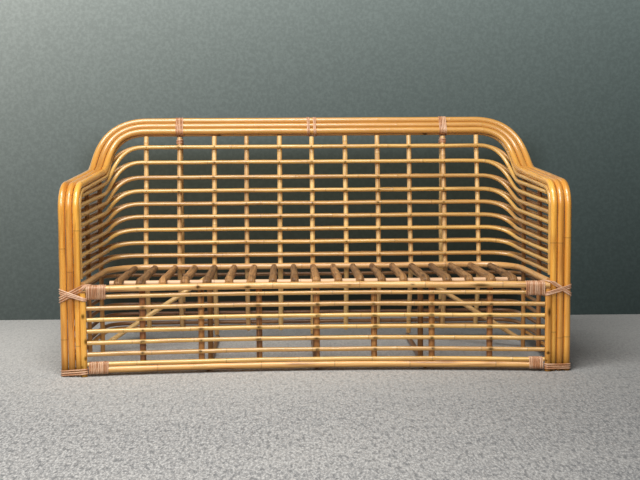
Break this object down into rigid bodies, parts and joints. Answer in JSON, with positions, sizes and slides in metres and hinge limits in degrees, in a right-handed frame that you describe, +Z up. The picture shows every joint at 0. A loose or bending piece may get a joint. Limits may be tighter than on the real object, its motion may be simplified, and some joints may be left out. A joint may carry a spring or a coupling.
{
  "type": "garden sofa",
  "caption": "Low wide garden sofa bent from rattan poles, with an open lattice back and arms, a slatted seat, a railed front and cane lashings.",
  "frame": {"origin": "on the floor, under the middle of the sofa's footprint", "axes": "+X to the sitter's left as seen from the front, which is the picture's right; -Y out of the open front; +Z up"},
  "size_m": [1.8724, 0.8004, 0.9377],
  "materials": {
    "frame_pole": "honey varnish over peeled rattan",
    "pencil_pole": "clear varnish over thin pale rattan",
    "under_pole": "thin varnish over darker rattan",
    "upright": "clear varnish over peeled rattan",
    "slat": "bare weathered rattan with its bark on",
    "cane": "split cane, satin"
  },
  "bodies": {
    "root": {"bottom_pencil": "pencil_pole", "brace_left": "under_pole", "brace_right": "under_pole", "edge_trim": "pencil_pole", "frame_pole_inner": "frame_pole", "frame_pole_middle": "frame_pole", "frame_pole_outer": "frame_pole", "grille_frame": "under_pole", "grille_pencil_1": "pencil_pole", "grille_pencil_2": "pencil_pole", "grille_pencil_3": "pencil_pole", "grille_pencil_4": "pencil_pole", "grille_pencil_5": "pencil_pole", "inner_rail_1": "pencil_pole", "inner_rail_2": "pencil_pole", "inner_rail_3": "pencil_pole", "inner_rail_4": "pencil_pole", "inner_rail_5": "pencil_pole", "inner_rail_6": "pencil_pole", "inner_rail_7": "pencil_pole", "inner_rail_8": "pencil_pole", "inner_rail_9": "pencil_pole", "lashing_bottom_left": "cane", "lashing_bottom_right": "cane", "lashing_foot_left": "cane", "lashing_foot_right": "cane", "lashing_post_left": "cane", "lashing_post_right": "cane", "lashing_seat_left": "cane", "lashing_seat_right": "cane", "lashing_top_centre": "cane", "lashing_top_left": "cane", "lashing_top_right": "cane", "lower_rail_1": "under_pole", "lower_rail_2": "under_pole", "lower_rail_3": "under_pole", "lower_rail_4": "under_pole", "lower_rail_5": "under_pole", "lower_rail_6": "under_pole", "mid_leg_centre": "under_pole", "mid_leg_left": "under_pole", "mid_leg_right": "under_pole", "outer_rail_1": "pencil_pole", "outer_rail_2": "pencil_pole", "outer_rail_3": "pencil_pole", "outer_rail_4": "pencil_pole", "outer_rail_5": "pencil_pole", "outer_rail_6": "pencil_pole", "outer_rail_7": "pencil_pole", "outer_rail_8": "pencil_pole", "outer_rail_9": "pencil_pole", "rear_stay_left": "upright", "rear_stay_right": "upright", "seat_deck": "slat", "seat_front_pencil": "pencil_pole", "seat_front_rail": "frame_pole", "seat_ring": "frame_pole", "short_post_left": "frame_pole", "short_post_right": "frame_pole", "upright_comb": "upright"}
  },
  "joints": []
}
